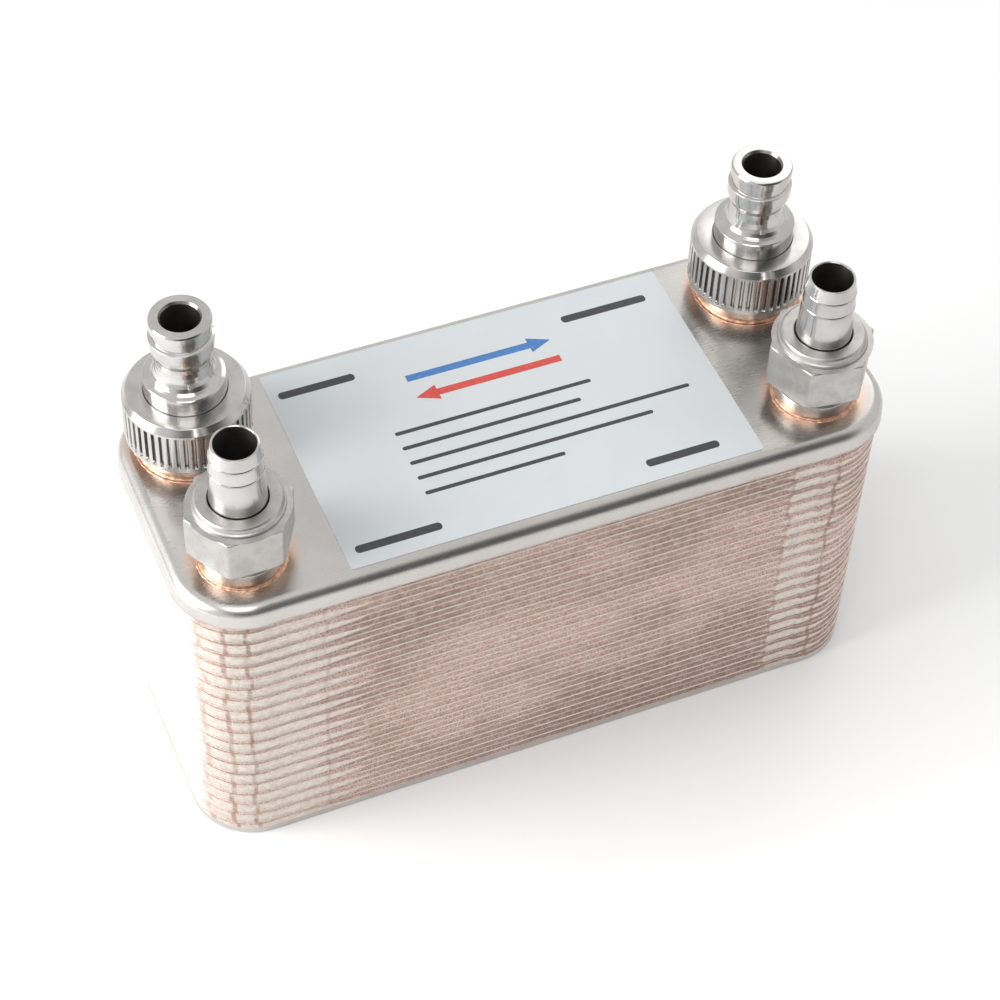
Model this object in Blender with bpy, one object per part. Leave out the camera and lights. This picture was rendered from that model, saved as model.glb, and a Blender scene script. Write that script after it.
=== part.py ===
"""Brazed plate wort chiller: a stack of nested, herringbone-pressed plates with four threaded ports.

The origin is the middle of the face that the chiller rests on. +X runs along the plates, -Y is the wort side,
+Y is the water side and +Z points out of the front cover, along the port axes. All lengths are in metres.
"""

import math

import bmesh
import bpy
from mathutils.geometry import delaunay_2d_cdt

# Plate stack: sizes are measured over the lips of the channel plates.
STACK_LENGTH = 0.1889
STACK_WIDTH = 0.0731
STACK_CORNER = 0.0167
PLATE_PITCH = 0.00224
CHANNEL_PLATES = 38
SHEET = 0.0003
SKIRT_DROP = 0.0058
SKIRT_FLARE = math.radians(14)
CORNER_STEPS = 3

# Herringbone relief of a channel plate, either side of its mid-plane.
RELIEF = 0.0008
RIDGE_COUNT = 7
RIDGE_SPACING = 0.016
RIDGE_SWEEP = 0.020
RIDGE_HALF_WIDTH = 0.031

# Covers.
COVER_SHEET = 0.0012
COVER_STANDS_PROUD = 0.0011
COVER_SKIRT = 0.00624
COVER_BEND = 0.0032
COVER_FLARE = math.radians(4)
COVER_CORNER_STEPS = 5
REAR_SHEET = 0.0010
REAR_FLOOR = 0.0062

# Ports: two wort ports at -Y, two water ports at +Y.
PORT_HALF_X = 0.077
PORT_HALF_Y = 0.020
PLATE_PORT_RADIUS = 0.0072
PLATE_PORT_SIDES = 8
COVER_PORT_SIDES = 16
GAP = 0.0002

FACE_Z = (CHANNEL_PLATES + 1) * PLATE_PITCH + COVER_SKIRT
COVER_UNDERSIDE = FACE_Z - COVER_SHEET

# Wort connectors: G1/2 stub, union nut and hose tail. Heights are above the front cover's face.
WORT_BORE = 0.0070
WORT_SPIGOT = 0.0085
WORT_STUB_RADIUS = 0.00975
WORT_STUB_COLLAR = 0.0104
WORT_STUB_TOP = 0.0170
WORT_FLANGE = 0.0091
WORT_FLANGE_TOP = 0.0206
TAIL_BORE = 0.00516
TAIL_RADIUS = 0.0064
TAIL_FOOT = 0.0070
TAIL_TOP = 0.0405
UNION_BORE = 0.0100
UNION_MOUTH = 0.00736
UNION_BOTTOM = 0.0073
UNION_TOP = 0.0220
HEX_ACROSS_FLATS = 0.024

# Water connectors: G3/4 stub, fluted nut and hose nipple.
WATER_BORE = 0.0090
WATER_SPIGOT = 0.0112
WATER_STUB_RADIUS = 0.0125
WATER_STUB_COLLAR = 0.0131
WATER_STUB_TOP = 0.0135
WATER_FLANGE = 0.0118
WATER_FLANGE_TOP = 0.0174
NIPPLE_BORE = 0.0049
NIPPLE_STEP = 0.0103
NIPPLE_TOP = 0.04385
FLUTED_BORE = 0.01285
FLUTED_MOUTH = 0.0106
FLUTED_RADIUS = 0.0159
FLUTED_BOTTOM = 0.0052
FLUTED_TOP = 0.0200

SEAL_THICKNESS = 0.0016
STUB_SIDES = 20
NUT_SIDES = 24
SEAL_SIDES = 16

# Each port's place, and how far its union nut is turned at rest.
WORT_PORTS = {"wort_out": (-PORT_HALF_X, -PORT_HALF_Y, 0.5), "wort_in": (PORT_HALF_X, -PORT_HALF_Y, -7.6)}
WATER_PORTS = {"water_in": (-PORT_HALF_X, PORT_HALF_Y), "water_out": (PORT_HALF_X, PORT_HALF_Y)}


def clear_scene():
    for obj in list(bpy.data.objects):
        bpy.data.objects.remove(obj)


def new_material(name, color, roughness, metallic):
    material = bpy.data.materials.new(name)
    material.use_nodes = True
    shader = material.node_tree.nodes["Principled BSDF"]
    shader.inputs["Base Color"].default_value = (*color, 1.0)
    shader.inputs["Roughness"].default_value = roughness
    shader.inputs["Metallic"].default_value = metallic
    return material


def new_object(name, bm, material, location=(0.0, 0.0, 0.0), sharp_angle=30):
    bmesh.ops.recalc_face_normals(bm, faces=bm.faces)
    mesh = bpy.data.meshes.new(name)
    bm.to_mesh(mesh)
    bm.free()
    mesh.materials.append(material)
    mesh.shade_smooth()
    mesh.set_sharp_from_angle(angle=math.radians(sharp_angle))
    obj = bpy.data.objects.new(name, mesh)
    obj.location = location
    bpy.context.scene.collection.objects.link(obj)
    return obj


def turned(name, profile, material, location, sides=STUB_SIDES):
    """A solid of revolution about Z: profile is a closed outline of (radius, height) points."""
    bm = bmesh.new()
    verts = [bm.verts.new((radius, 0.0, height)) for radius, height in profile]
    edges = [bm.edges.new((verts[i - 1], verts[i])) for i in range(len(verts))]
    bmesh.ops.spin(
        bm,
        geom=verts + edges,
        cent=(0.0, 0.0, 0.0),
        axis=(0.0, 0.0, 1.0),
        angle=math.tau,
        steps=sides,
        use_merge=True,
    )
    bmesh.ops.remove_doubles(bm, verts=bm.verts, dist=1e-7)
    return new_object(name, bm, material, location)


def stack_outline(inset, corner_steps):
    """Points of the plates' rounded rectangle, anticlockwise, moved inwards by inset."""
    points = []
    reach_x = STACK_LENGTH / 2 - STACK_CORNER
    reach_y = STACK_WIDTH / 2 - STACK_CORNER
    radius = STACK_CORNER - inset
    for quarter, (side_x, side_y) in enumerate(((1, 1), (-1, 1), (-1, -1), (1, -1))):
        for step in range(corner_steps + 1):
            angle = (quarter + step / corner_steps) * math.pi / 2
            x = side_x * reach_x + radius * math.cos(angle)
            y = side_y * reach_y + radius * math.sin(angle)
            points.append((x, y))
    return points


def circle_points(x, y, radius, sides):
    angles = [math.tau * (i + 0.5) / sides for i in range(sides)]
    return [(x + radius * math.cos(angle), y + radius * math.sin(angle)) for angle in angles]


def pressed_plate(name, material, corner_steps, top, bottom, skirt, ports=(), ridges=()):
    """A tray of sheet, floor up and skirt down.

    top and bottom are the (inset, height) of the floor's edge on its two sides, and skirt holds the loops
    between them, down the outside and up the inside. A port is (x, y, radius, sides, lift), and a ridge is
    (points, lift): the floor is raised by lift along it.
    """
    edge = stack_outline(top[0], corner_steps)
    points = list(edge)
    lifts = [0.0] * len(edge)
    creases = []
    rings = []
    for x, y, radius, sides, lift in ports:
        start = len(points)
        points += circle_points(x, y, radius, sides)
        lifts += [lift] * sides
        ring = list(range(start, start + sides))
        rings.append(ring)
        creases += [(ring[i - 1], ring[i]) for i in range(sides)]
    for line, lift in ridges:
        start = len(points)
        points += line
        lifts += [lift] * len(line)
        creases += [(start + i, start + i + 1) for i in range(len(line) - 1)]

    _, _, found, came_from, _, _ = delaunay_2d_cdt(points, creases, [], 0, 1e-7, True)
    triangles = [[came_from[corner][0] for corner in face] for face in found]
    inside_port = [set(ring) for ring in rings]
    triangles = [face for face in triangles if not any(set(face) <= ring for ring in inside_port)]

    bm = bmesh.new()
    upper = [bm.verts.new((x, y, top[1] + lift)) for (x, y), lift in zip(points, lifts)]
    moved = stack_outline(bottom[0], corner_steps) + points[len(edge):]
    lower = [bm.verts.new((x, y, bottom[1] + lift)) for (x, y), lift in zip(moved, lifts)]
    for face in triangles:
        bm.faces.new([upper[corner] for corner in face])
        bm.faces.new([lower[corner] for corner in reversed(face)])
    for ring in rings:
        for i, here in enumerate(ring):
            before = ring[i - 1]
            bm.faces.new((upper[before], upper[here], lower[here], lower[before]))
    loops = [upper[:len(edge)]]
    for inset, height in skirt:
        loops.append([bm.verts.new((x, y, height)) for x, y in stack_outline(inset, corner_steps)])
    loops.append(lower[:len(edge)])
    for first, second in zip(loops, loops[1:]):
        for i in range(len(edge)):
            bm.faces.new((first[i - 1], first[i], second[i], second[i - 1]))
    return new_object(name, bm, material)


def herringbone(mirrored):
    """The creases of the chevrons, with their lifts: crest and valley by turns."""
    hand = -1 if mirrored else 1
    ridges = []
    for i in range(RIDGE_COUNT):
        apex = (i - (RIDGE_COUNT - 1) / 2) * RIDGE_SPACING - RIDGE_SWEEP / 2
        foot = apex + RIDGE_SWEEP
        line = [(hand * foot, -RIDGE_HALF_WIDTH), (hand * apex, 0.0), (hand * foot, RIDGE_HALF_WIDTH)]
        ridges.append((line, RELIEF if i % 2 == 0 else -RELIEF))
    return ridges


def channel_plate(number, material):
    """Plates alternate: chevrons point the other way, and the other fluid's ports are pressed down."""
    odd = number % 2 == 1
    lip = FACE_Z - COVER_SKIRT - number * PLATE_PITCH
    floor = lip + SKIRT_DROP
    slope = math.tan(SKIRT_FLARE)
    wall = SHEET / math.cos(SKIRT_FLARE)
    top = ((SKIRT_DROP + SHEET / 2) * slope, floor + SHEET / 2)
    bottom = ((SKIRT_DROP - SHEET / 2) * slope + wall, floor - SHEET / 2)
    ports = []
    for side_x in (-1, 1):
        for side_y in (-1, 1):
            lift = RELIEF if (side_y > 0) == odd else -RELIEF
            place = (side_x * PORT_HALF_X, side_y * PORT_HALF_Y)
            ports.append((*place, PLATE_PORT_RADIUS, PLATE_PORT_SIDES, lift))
    pressed_plate(
        f"channel_plate_{number:02d}",
        material,
        CORNER_STEPS,
        top,
        bottom,
        skirt=[(0.0, lip), (wall, lip)],
        ports=ports,
        ridges=herringbone(mirrored=odd),
    )


def front_cover(material):
    """The cover's skirt stands outside the first channel plate, and its edge is a rolled bend."""
    lip_z = FACE_Z - COVER_SKIRT
    bend_z = FACE_Z - COVER_BEND
    draw_in = (bend_z - lip_z) * math.tan(COVER_FLARE)
    centre_inset = draw_in + COVER_BEND - COVER_STANDS_PROUD
    inner_bend = COVER_BEND - COVER_SHEET

    def bend(radius, degrees):
        angle = math.radians(degrees)
        return centre_inset - radius * math.sin(angle), bend_z + radius * math.cos(angle)

    outside = [bend(COVER_BEND, degrees) for degrees in (30, 60, 90)]
    inside = [bend(inner_bend, degrees) for degrees in (90, 45)]
    lip = [(-COVER_STANDS_PROUD, lip_z), (COVER_SHEET - COVER_STANDS_PROUD, lip_z)]
    widen = 1 / math.cos(math.pi / COVER_PORT_SIDES)
    ports = []
    for x, y, _ in WORT_PORTS.values():
        ports.append((x, y, (WORT_SPIGOT + GAP) * widen, COVER_PORT_SIDES, 0.0))
    for x, y in WATER_PORTS.values():
        ports.append((x, y, (WATER_SPIGOT + GAP) * widen, COVER_PORT_SIDES, 0.0))
    pressed_plate(
        "front_cover_plate",
        material,
        COVER_CORNER_STEPS,
        top=(centre_inset, FACE_Z),
        bottom=(centre_inset, COVER_UNDERSIDE),
        skirt=outside + lip + inside,
        ports=ports,
    )


def rear_cover(material):
    """The blind plate that closes the stack: the chiller rests on its lip."""
    slope = math.tan(SKIRT_FLARE)
    wall = REAR_SHEET / math.cos(SKIRT_FLARE)
    top_z = REAR_FLOOR + REAR_SHEET / 2
    bottom_z = REAR_FLOOR - REAR_SHEET / 2
    pressed_plate(
        "rear_cover_plate",
        material,
        CORNER_STEPS,
        top=(top_z * slope, top_z),
        bottom=(bottom_z * slope + wall, bottom_z),
        skirt=[(0.0, 0.0), (wall, 0.0)],
    )


def port_stub(name, place, spigot, bore, collar, thread, top, material):
    """Threaded male stub. Its thread is a plain cylinder at a radius that clears the nut's bore."""
    collar_top = 0.0045
    profile = [
        (bore, COVER_UNDERSIDE - FACE_Z - GAP),
        (spigot, COVER_UNDERSIDE - FACE_Z - GAP),
        (spigot, GAP),
        (collar, GAP),
        (collar, collar_top),
        (thread, collar_top),
        (thread, top - 0.0006),
        (thread - 0.0006, top),
        (bore, top),
    ]
    turned(name, profile, material, place)


def braze_ring(name, place, collar, material):
    """The copper fillet that the furnace leaves round a stub's foot."""
    foot = 0.0014
    profile = [(collar + GAP, GAP), (collar + foot, GAP), (collar + GAP, foot)]
    turned(name, profile, material, place)


def seal(name, place, inner, outer, stub_top, material):
    low = stub_top + GAP
    high = low + SEAL_THICKNESS
    turned(name, [(inner, low), (outer, low), (outer, high), (inner, high)], material, place, SEAL_SIDES)


def hose_tail(name, place, material):
    flange_bottom = WORT_STUB_TOP + SEAL_THICKNESS + 2 * GAP
    profile = [
        (TAIL_BORE, flange_bottom),
        (WORT_FLANGE, flange_bottom),
        (WORT_FLANGE, WORT_FLANGE_TOP),
        (TAIL_FOOT, WORT_FLANGE_TOP),
        (TAIL_FOOT, UNION_TOP + 0.0002),
        (TAIL_RADIUS, UNION_TOP + 0.0012),
        (TAIL_RADIUS - 0.0001, 0.0323),
        (TAIL_RADIUS, 0.0326),
        (TAIL_RADIUS - 0.0003, 0.0366),
        (TAIL_RADIUS - 0.0001, 0.0369),
        (TAIL_BORE + 0.0006, TAIL_TOP - 0.0002),
        (TAIL_BORE + 0.0003, TAIL_TOP),
        (TAIL_BORE, TAIL_TOP - 0.0002),
    ]
    turned(name, profile, material, place)


def union_nut(name, place, turn, material):
    """Cast hexagon with a domed shoulder, cut from a prism by a turned envelope and bored out."""
    corner = HEX_ACROSS_FLATS / 2 / math.cos(math.pi / 6)
    low = UNION_BOTTOM - 0.001
    high = UNION_TOP + 0.001
    bm = bmesh.new()
    bmesh.ops.create_cone(
        bm,
        cap_ends=True,
        segments=6,
        radius1=corner,
        radius2=corner,
        depth=high - low,
    )
    bmesh.ops.translate(bm, verts=bm.verts, vec=(0.0, 0.0, (low + high) / 2))
    nut = new_object(name, bm, material, place)
    first_corner = math.atan2(nut.data.vertices[0].co.y, nut.data.vertices[0].co.x)
    nut.rotation_euler.z = math.radians(turn) - first_corner

    envelope = [
        (0.0, UNION_BOTTOM),
        (0.0132, UNION_BOTTOM),
        (0.0140, UNION_BOTTOM + 0.0005),
        (0.0140, 0.0191),
        (0.0134, 0.0195),
        (0.0113, 0.0198),
        (0.0109, 0.0209),
        (0.0104, UNION_TOP),
        (0.0, UNION_TOP),
    ]
    bore = [
        (0.0, low),
        (UNION_BORE, low),
        (UNION_BORE, WORT_FLANGE_TOP + 0.0003),
        (UNION_MOUTH, WORT_FLANGE_TOP + 0.0003),
        (UNION_MOUTH, high),
        (0.0, high),
    ]
    for suffix, profile, operation in (("envelope", envelope, "INTERSECT"), ("bore", bore, "DIFFERENCE")):
        cutter = turned(f"{name}_{suffix}", profile, material, place, NUT_SIDES)
        cutter.hide_render = True
        cutter.display_type = "WIRE"
        boolean = nut.modifiers.new(suffix, "BOOLEAN")
        boolean.operation = operation
        boolean.solver = "EXACT"
        boolean.object = cutter


def hose_nipple(name, place, material):
    """Quick-connect nipple: bored tip with a seal groove, a locking ring, a waist and a stepped foot."""
    flange_bottom = WATER_STUB_TOP + SEAL_THICKNESS + 2 * GAP
    waist_top = 0.0334
    waist_foot = 0.0250
    waist = []
    for i in range(7):
        along = (i / 6) ** 1.4
        height = waist_foot + (waist_top - waist_foot) * along
        flare = 0.0030 * (1 - along) ** 5 + 0.0010 * along ** 3
        waist.append((0.0067 + flare, height))
    profile = [
        (NIPPLE_BORE, flange_bottom),
        (WATER_FLANGE, flange_bottom),
        (WATER_FLANGE, WATER_FLANGE_TOP),
        (NIPPLE_STEP, WATER_FLANGE_TOP),
        (NIPPLE_STEP, 0.0248),
        *waist,
        (0.0077, 0.0350),
        (0.00815, 0.0351),
        (0.00815, 0.0384),
        (0.0073, 0.0387),
        (0.0073, 0.0409),
        (0.00775, 0.0411),
        (0.00775, NIPPLE_TOP - 0.0004),
        (0.00735, NIPPLE_TOP),
        (NIPPLE_BORE, NIPPLE_TOP),
    ]
    turned(name, profile, material, place)


def fluted_nut(name, place, material):
    """Round swivel nut. The flutes round its side are finer than this solid."""
    lip_underside = WATER_FLANGE_TOP + 0.0003
    profile = [
        (FLUTED_BORE, FLUTED_BOTTOM),
        (FLUTED_RADIUS - 0.0006, FLUTED_BOTTOM),
        (FLUTED_RADIUS, FLUTED_BOTTOM + 0.0006),
        (FLUTED_RADIUS, 0.0183),
        (0.0146, FLUTED_TOP),
        (FLUTED_MOUTH, FLUTED_TOP),
        (FLUTED_MOUTH, lip_underside),
        (FLUTED_BORE, lip_underside),
    ]
    turned(name, profile, material, place, NUT_SIDES)


def build():
    clear_scene()
    front_cover(new_material("front_cover_steel", (0.62, 0.59, 0.56), 0.32, 1.0))
    rear_cover(new_material("rear_cover_steel", (0.60, 0.58, 0.55), 0.38, 1.0))
    for number in range(1, CHANNEL_PLATES + 1):
        channel_plate(number, new_material(f"channel_plate_{number:02d}", (0.62, 0.50, 0.44), 0.40, 1.0))

    for port, (x, y, turn) in WORT_PORTS.items():
        place = (x, y, FACE_Z)
        steel = new_material(f"{port}_stub", (0.66, 0.64, 0.61), 0.25, 1.0)
        port_stub(f"{port}_stub", place, WORT_SPIGOT, WORT_BORE, WORT_STUB_COLLAR, WORT_STUB_RADIUS,
                  WORT_STUB_TOP, steel)
        copper = new_material(f"{port}_braze", (0.85, 0.42, 0.24), 0.30, 1.0)
        braze_ring(f"{port}_braze_ring", place, WORT_STUB_COLLAR, copper)
        rubber = new_material(f"{port}_gasket", (0.80, 0.79, 0.75), 0.60, 0.0)
        seal(f"{port}_gasket", place, TAIL_BORE + 0.0002, WORT_FLANGE - GAP, WORT_STUB_TOP, rubber)
        hose_tail(f"{port}_hose_tail", place, new_material(f"{port}_tail", (0.72, 0.70, 0.69), 0.15, 1.0))
        union_nut(f"{port}_union_nut", place, turn, new_material(f"{port}_nut", (0.58, 0.57, 0.55), 0.45, 1.0))

    for port, (x, y) in WATER_PORTS.items():
        place = (x, y, FACE_Z)
        steel = new_material(f"{port}_stub", (0.66, 0.64, 0.61), 0.25, 1.0)
        port_stub(f"{port}_stub", place, WATER_SPIGOT, WATER_BORE, WATER_STUB_COLLAR, WATER_STUB_RADIUS,
                  WATER_STUB_TOP, steel)
        copper = new_material(f"{port}_braze", (0.85, 0.42, 0.24), 0.30, 1.0)
        braze_ring(f"{port}_braze_ring", place, WATER_STUB_COLLAR, copper)
        rubber = new_material(f"{port}_washer", (0.06, 0.06, 0.06), 0.60, 0.0)
        seal(f"{port}_washer", place, NIPPLE_BORE + 0.0006, WATER_FLANGE - GAP, WATER_STUB_TOP, rubber)
        hose_nipple(f"{port}_nipple", place, new_material(f"{port}_nipple", (0.74, 0.72, 0.70), 0.12, 1.0))
        fluted_nut(f"{port}_nut", place, new_material(f"{port}_nut", (0.68, 0.66, 0.64), 0.22, 1.0))


build()
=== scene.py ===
import math

import bmesh
import bpy
from mathutils import Matrix, Vector
from mathutils.geometry import delaunay_2d_cdt


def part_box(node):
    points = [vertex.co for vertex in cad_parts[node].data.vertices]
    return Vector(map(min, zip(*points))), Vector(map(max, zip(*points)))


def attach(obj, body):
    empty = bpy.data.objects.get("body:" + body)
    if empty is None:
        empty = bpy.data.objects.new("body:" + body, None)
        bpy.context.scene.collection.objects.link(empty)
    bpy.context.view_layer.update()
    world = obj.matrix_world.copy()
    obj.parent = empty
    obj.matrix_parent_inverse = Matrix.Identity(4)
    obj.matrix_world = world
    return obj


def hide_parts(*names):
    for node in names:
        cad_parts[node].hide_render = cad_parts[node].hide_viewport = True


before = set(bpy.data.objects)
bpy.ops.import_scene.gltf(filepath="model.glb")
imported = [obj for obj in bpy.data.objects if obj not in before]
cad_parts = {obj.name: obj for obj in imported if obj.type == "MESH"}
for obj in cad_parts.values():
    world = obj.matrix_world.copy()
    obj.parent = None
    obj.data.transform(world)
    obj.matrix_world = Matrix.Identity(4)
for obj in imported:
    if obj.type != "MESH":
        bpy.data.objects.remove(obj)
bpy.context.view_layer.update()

# A brazed plate wort chiller, built up in the order in which the real one is put together: the stack of
# pressed plates, the cover and its stubs, the four screwed connections, and the label.


# ---- Rear cover ----
# The blind plate that closes the stack and that the chiller stands on. It is deep-drawn from 1 mm
# stainless sheet, like the channel plates but with a flat floor.

MM = 0.001
STACK_LOW, STACK_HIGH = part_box("rear_cover_plate")
STACK_CORNER = 16.7 * MM
STACK_SIZE = (STACK_HIGH.x - STACK_LOW.x, STACK_HIGH.y - STACK_LOW.y, STACK_CORNER)
SKIRT_FLARE = math.tan(math.radians(14))
REAR_SHEET = 1.0 * MM
REAR_FLOOR = 6.2 * MM
REAR_LIP = 0.16 * MM
PRESS_BEND = 1.3 * MM
REAR_STEEL = (0.66, 0.63, 0.60)


def tray_outline(length, width, corner, inset, corner_steps=12, side_step=2.6 * MM):
    """Points of the plates' rounded rectangle, anticlockwise, moved inwards by inset."""
    reach_x = length / 2 - corner
    reach_y = width / 2 - corner
    radius = corner - inset
    points = []
    for quarter, (side_x, side_y) in enumerate(((1, 1), (-1, 1), (-1, -1), (1, -1))):
        for step in range(corner_steps + 1):
            angle = (quarter + step / corner_steps) * math.pi / 2
            x = side_x * reach_x + radius * math.cos(angle)
            y = side_y * reach_y + radius * math.sin(angle)
            points.append((x, y))
        run = 2 * (reach_x if quarter % 2 == 0 else reach_y)
        count = max(2, round(run / side_step))
        turn = (quarter + 1) * math.pi / 2
        for step in range(1, count):
            along = run * step / count
            start_x, start_y = points[-step]
            points.append((start_x - math.sin(turn) * along, start_y + math.cos(turn) * along))
    return points


def press_bend(inset, height, radius, lean, steps=5):
    """(inset, height) points of the bend between a flat floor and a skirt that leans out by atan(lean)."""
    turned = math.pi / 2 - math.atan(lean)
    arc = []
    for step in range(steps + 1):
        angle = turned * step / steps
        arc.append((inset - radius * math.sin(angle), height - radius * (1 - math.cos(angle))))
    return arc


def tray_blank(name, size, bend, skirt, holes=(), creases=(), corner_steps=12):
    """A tray of no thickness: a flat floor with round holes and crease lines, and a lofted skirt.

    size is (length, width, corner), bend and skirt are (inset, height) points from the floor's edge to
    the lip, and a hole is (x, y, radius, sides).
    """
    floor_inset, floor_height = bend[0]
    rim = tray_outline(*size, floor_inset, corner_steps)
    points = list(rim)
    edges = []
    rings = []
    for x, y, radius, sides in holes:
        start = len(points)
        for side in range(sides):
            angle = math.tau * side / sides
            points.append((x + radius * math.cos(angle), y + radius * math.sin(angle)))
        ring = list(range(start, start + sides))
        rings.append(set(ring))
        edges += [(ring[i - 1], ring[i]) for i in range(sides)]
    for line in creases:
        start = len(points)
        points += line
        edges += [(start + i, start + i + 1) for i in range(len(line) - 1)]
    places, _, found, came_from, _, _ = delaunay_2d_cdt(points, edges, [], 0, 1e-7, True)

    bm = bmesh.new()
    floor = [bm.verts.new((place[0], place[1], floor_height)) for place in places]
    for face in found:
        origins = {came_from[corner][0] for corner in face if came_from[corner]}
        if not any(len(origins) == 3 and origins <= ring for ring in rings):
            bm.faces.new([floor[corner] for corner in face])
    index_of = {origins[0]: i for i, origins in enumerate(came_from) if origins}
    above = [floor[index_of[i]] for i in range(len(rim))]
    for inset, height in (*bend[1:], *skirt):
        below = [bm.verts.new((x, y, height)) for x, y in tray_outline(*size, inset, corner_steps)]
        for i in range(len(rim)):
            bm.faces.new((above[i - 1], below[i - 1], below[i], above[i]))
        above = below
    bmesh.ops.delete(bm, geom=[v for v in bm.verts if not v.link_faces], context="VERTS")
    bmesh.ops.recalc_face_normals(bm, faces=bm.faces)
    if sum(face.normal.z * face.calc_area() for face in bm.faces) < 0:
        bmesh.ops.reverse_faces(bm, faces=bm.faces)
    return new_piece(name, bm)


def new_piece(name, bm):
    """The finished mesh as a piece at the origin."""
    mesh = bpy.data.meshes.new(name)
    bm.to_mesh(mesh)
    bm.free()
    return placed(name, mesh)


def placed(name, data):
    thing = bpy.data.objects.new(name, data)
    bpy.context.scene.collection.objects.link(thing)
    return thing


def settle(piece, material, sharp=35):
    """Applies the piece's modifiers, gives it its material and smooths all but its sharp edges."""
    graph = bpy.context.evaluated_depsgraph_get()
    mesh = bpy.data.meshes.new_from_object(piece.evaluated_get(graph), depsgraph=graph)
    piece.modifiers.clear()
    piece.data = mesh
    mesh.name = piece.name
    mesh.materials.clear()
    mesh.materials.append(material)
    mesh.shade_smooth()
    mesh.set_sharp_from_angle(angle=math.radians(sharp))


def give_thickness(piece, thickness, offset=0.0):
    solidify = piece.modifiers.new("sheet", "SOLIDIFY")
    solidify.thickness = thickness
    solidify.offset = offset
    solidify.use_even_offset = True
    solidify.use_quality_normals = True


class Signal:
    """A value in a node tree. Arithmetic on it adds Math nodes to the tree."""

    def __init__(self, socket):
        self.socket = socket

    def __add__(self, other):
        return calc("ADD", self, other)

    def __sub__(self, other):
        return calc("SUBTRACT", self, other)

    def __rsub__(self, other):
        return calc("SUBTRACT", other, self)

    def __mul__(self, other):
        return calc("MULTIPLY", self, other)

    def __truediv__(self, other):
        return calc("DIVIDE", self, other)

    def __abs__(self):
        return calc("ABSOLUTE", self)

    def __gt__(self, other):
        return calc("GREATER_THAN", self, other)

    def __lt__(self, other):
        return calc("LESS_THAN", self, other)


def tree_of(*values):
    return next(value.socket.id_data for value in values if isinstance(value, Signal))


def feed(made, **inputs):
    """Gives a node's inputs their values or signals; _0 and _1 number inputs whose names are alike."""
    for key, value in inputs.items():
        socket = made.inputs[int(key[1:])] if key[0] == "_" else made.inputs[key.replace("_", " ")]
        if isinstance(value, Signal):
            made.id_data.links.new(value.socket, socket)
        else:
            socket.default_value = value


def node(tree, kind, settings=None, pick=0, **inputs):
    """Adds a node with its settings and inputs, and returns the output picked, or all with pick=None."""
    made = tree.nodes.new(kind)
    for key, value in (settings or {}).items():
        setattr(made, key, value)
    feed(made, **inputs)
    if pick is None:
        return [Signal(socket) for socket in made.outputs]
    return Signal(made.outputs[pick])


def calc(operation, first, second=0.0, third=0.0, clamp=False):
    settings = {"operation": operation, "use_clamp": clamp}
    tree = tree_of(first, second, third)
    return node(tree, "ShaderNodeMath", settings, _0=first, _1=second, _2=third)


def scaled(signal, factor, extra):
    return calc("MULTIPLY_ADD", signal, factor, extra)


def vector_calc(operation, first, second=(0.0, 0.0, 0.0), pick=0, **inputs):
    tree = tree_of(first, second)
    return node(tree, "ShaderNodeVectorMath", {"operation": operation}, pick, _0=first, _1=second, **inputs)


def axes(vector):
    return node(tree_of(vector), "ShaderNodeSeparateXYZ", pick=None, _0=vector)


def ramp(factor, low, high, start=0.0, end=1.0):
    """Smooth change from start to end as factor goes from low to high."""
    smooth = {"interpolation_type": "SMOOTHSTEP"}
    return node(tree_of(factor), "ShaderNodeMapRange", smooth, _0=factor, _1=low, _2=high, _3=start, _4=end)


def blend(factor, first, second):
    """Colour mix; a colour is a triple or a signal."""
    first, second = (colour if isinstance(colour, Signal) else (*colour, 1.0) for colour in (first, second))
    return node(tree_of(factor), "ShaderNodeMix", {"data_type": "RGBA"}, 2, _0=factor, _6=first, _7=second)


def object_space(tree):
    return node(tree, "ShaderNodeTexCoord", pick="Object")


def grain(space, scale, detail=3.0, stretch=(1.0, 1.0, 1.0)):
    """Noise from 0 to 1, with scale in cycles a metre, drawn out along an axis by a small stretch."""
    tree = tree_of(space)
    mapped = node(tree, "ShaderNodeMapping", _0=space, _3=stretch)
    return node(tree, "ShaderNodeTexNoise", Vector=mapped, Scale=scale, Detail=detail, Roughness=0.6)


def emboss(shader, height, distance, strength):
    bump = node(shader.id_data, "ShaderNodeBump", Height=height, Distance=distance, Strength=strength)
    feed(shader, Normal=bump)


def new_finish(name, metallic=1.0):
    """A material, its shader and the coordinates that its patterns are drawn in."""
    material = bpy.data.materials.new(name)
    material.use_nodes = True
    shader = material.node_tree.nodes["Principled BSDF"]
    feed(shader, Metallic=metallic)
    return material, shader, object_space(material.node_tree)


def rolled_sheet(name, tint, rough, cloud=0.06, scratch=0.35):
    """Satin cold-rolled steel: fine grain along X, clouded gloss and a few hairlines."""
    material, shader, space = new_finish(name)
    lines = grain(space, 900.0, 4.0, (0.03, 1.0, 1.0))
    patches = grain(space, 45.0, 4.0)
    darker = tuple(value * (1 - 2.2 * cloud) for value in tint)
    feed(
        shader,
        Base_Color=blend(ramp(patches, 0.3, 0.7), darker, tint),
        Roughness=scaled(patches, cloud, scaled(lines, 0.06, rough - 0.03)),
        Anisotropic=0.6,
        Tangent=node(shader.id_data, "ShaderNodeCombineXYZ", _1=1.0, _2=0.3),
    )
    emboss(shader, lines, 0.012 * MM, scratch)
    return material


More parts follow.
